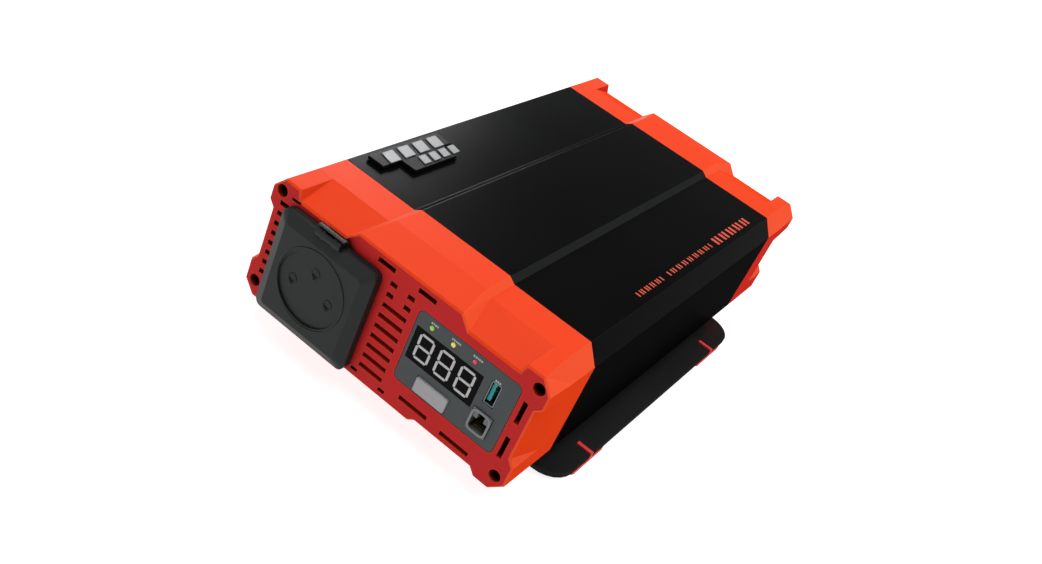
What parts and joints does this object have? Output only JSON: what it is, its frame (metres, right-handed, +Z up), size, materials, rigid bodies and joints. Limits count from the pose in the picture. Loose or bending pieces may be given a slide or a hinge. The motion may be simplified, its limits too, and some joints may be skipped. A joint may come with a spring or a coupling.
{
  "type": "power inverter",
  "caption": "Box-shaped power inverter: black extruded case, orange end caps, lidded socket, display panel, fan and battery terminals.",
  "frame": {"origin": "on the floor under the middle of the object's box", "axes": "+Z up; -Y out of the front with the socket and panel; +Y out of the rear with the fan and terminals; +X to the right seen from the front"},
  "size_m": [0.196, 0.342, 0.0886],
  "materials": {
    "case_black": "satin black coated aluminium extrusion",
    "cap_orange": "satin orange-red moulded plastic",
    "black_plastic": "satin black moulded plastic",
    "panel_grey": "satin grey moulded plastic",
    "display_window": "gloss smoked window",
    "display_module": "matt display block",
    "green_light": "clear green lens",
    "yellow_light": "clear yellow lens",
    "red_light": "clear red lens",
    "button_grey": "satin light grey plastic",
    "usb_teal": "satin teal plastic",
    "steel": "zinc plated steel",
    "brass": "plated brass",
    "foot_rubber": "matt red rubber",
    "knob_red": "satin red plastic",
    "knob_black": "satin black plastic",
    "circuit_board": "green solder mask",
    "ribbon_grey": "grey ribbon cable",
    "ferrite": "ferrite core",
    "copper_wire": "enamelled copper wire",
    "capacitor_sleeve": "shrink sleeve",
    "aluminium": "mill finish",
    "cable_red": "red insulation",
    "cable_black": "black insulation"
  },
  "bodies": {
    "case": {"case_cover": "case_black", "base_plate": "case_black", "front_cap": "cap_orange", "rear_cap": "cap_orange", "badge_plate": "black_plastic", "socket_body": "black_plastic", "socket_contact_live": "brass", "socket_contact_neutral": "brass", "socket_contact_earth": "brass", "lid_hinge_pin": "steel", "lid_spring": "steel", "control_panel": "panel_grey", "display_window": "display_window", "display_module": "display_module", "green_light": "green_light", "yellow_light": "yellow_light", "red_light": "red_light", "power_switch": "black_plastic", "usb_shell": "steel", "usb_tongue": "usb_teal", "modular_jack": "black_plastic", "display_board": "circuit_board", "display_ribbon": "ribbon_grey", "fan_frame": "black_plastic", "terminal_block": "black_plastic", "stud_positive": "brass", "stud_negative": "brass", "earth_screw": "brass", "main_board": "circuit_board", "transformer_core_left": "ferrite", "transformer_core_right": "ferrite", "transformer_winding_left": "copper_wire", "transformer_winding_right": "copper_wire", "choke_coil": "copper_wire", "bulk_capacitor_left": "capacitor_sleeve", "bulk_capacitor_right": "capacitor_sleeve", "transistor_row_left": "aluminium", "transistor_row_right": "aluminium", "cable_positive": "cable_red", "cable_negative": "cable_black", "output_cable": "cable_black", "cap_screw_front_lower_left": "steel", "cap_screw_front_lower_right": "steel", "cap_screw_front_upper_left": "steel", "cap_screw_front_upper_right": "steel", "foot_front_left": "foot_rubber", "foot_front_right": "foot_rubber", "cap_screw_rear_lower_left": "steel", "cap_screw_rear_lower_right": "steel", "cap_screw_rear_upper_left": "steel", "cap_screw_rear_upper_right": "steel", "foot_rear_left": "foot_rubber", "foot_rear_right": "foot_rubber"},
    "lid": {"socket_lid": "black_plastic"},
    "button": {"power_button": "button_grey"},
    "fan": {"fan_rotor": "black_plastic"},
    "positive_washer": {"clamp_washer_positive": "brass"},
    "positive_knob": {"knob_positive": "knob_red"},
    "negative_washer": {"clamp_washer_negative": "brass"},
    "negative_knob": {"knob_negative": "knob_black"}
  },
  "joints": [
    {"name": "lid_hinge", "type": "hinge", "parent": "case", "child": "lid", "pos_m": [-0.0423, -0.1681, 0.0774], "axis": [-1, 0, 0], "range_deg": [0, 105], "stiffness_Nm_per_rad": 0.02, "springref_deg": -20.05},
    {"name": "button_press", "type": "slide", "parent": "case", "child": "button", "axis": [0, 1, 0], "range_m": [0, 0.0015], "stiffness_N_per_m": 400, "springref_m": -0.0005},
    {"name": "fan_spin", "type": "hinge", "parent": "case", "child": "fan", "pos_m": [0.0415, 0.1393, 0.0495], "axis": [0, 1, 0], "continuous": true},
    {"name": "positive_washer_slide", "type": "slide", "parent": "case", "child": "positive_washer", "axis": [0, 1, 0], "range_m": [0, 0.005]},
    {"name": "positive_knob_turn", "type": "hinge", "parent": "positive_washer", "child": "positive_knob", "pos_m": [-0.06, 0.158, 0.0475], "axis": [0, 1, 0], "range_deg": [0, 1450]},
    {"name": "negative_washer_slide", "type": "slide", "parent": "case", "child": "negative_washer", "axis": [0, 1, 0], "range_m": [0, 0.005]},
    {"name": "negative_knob_turn", "type": "hinge", "parent": "negative_washer", "child": "negative_knob", "pos_m": [-0.028, 0.158, 0.0475], "axis": [0, 1, 0], "range_deg": [0, 1450]}
  ],
  "couplings": [
    {"joint": "positive_knob_turn", "follows": "positive_washer_slide", "rad_per_m": 5026.5},
    {"joint": "negative_knob_turn", "follows": "negative_washer_slide", "rad_per_m": 5026.5}
  ]
}
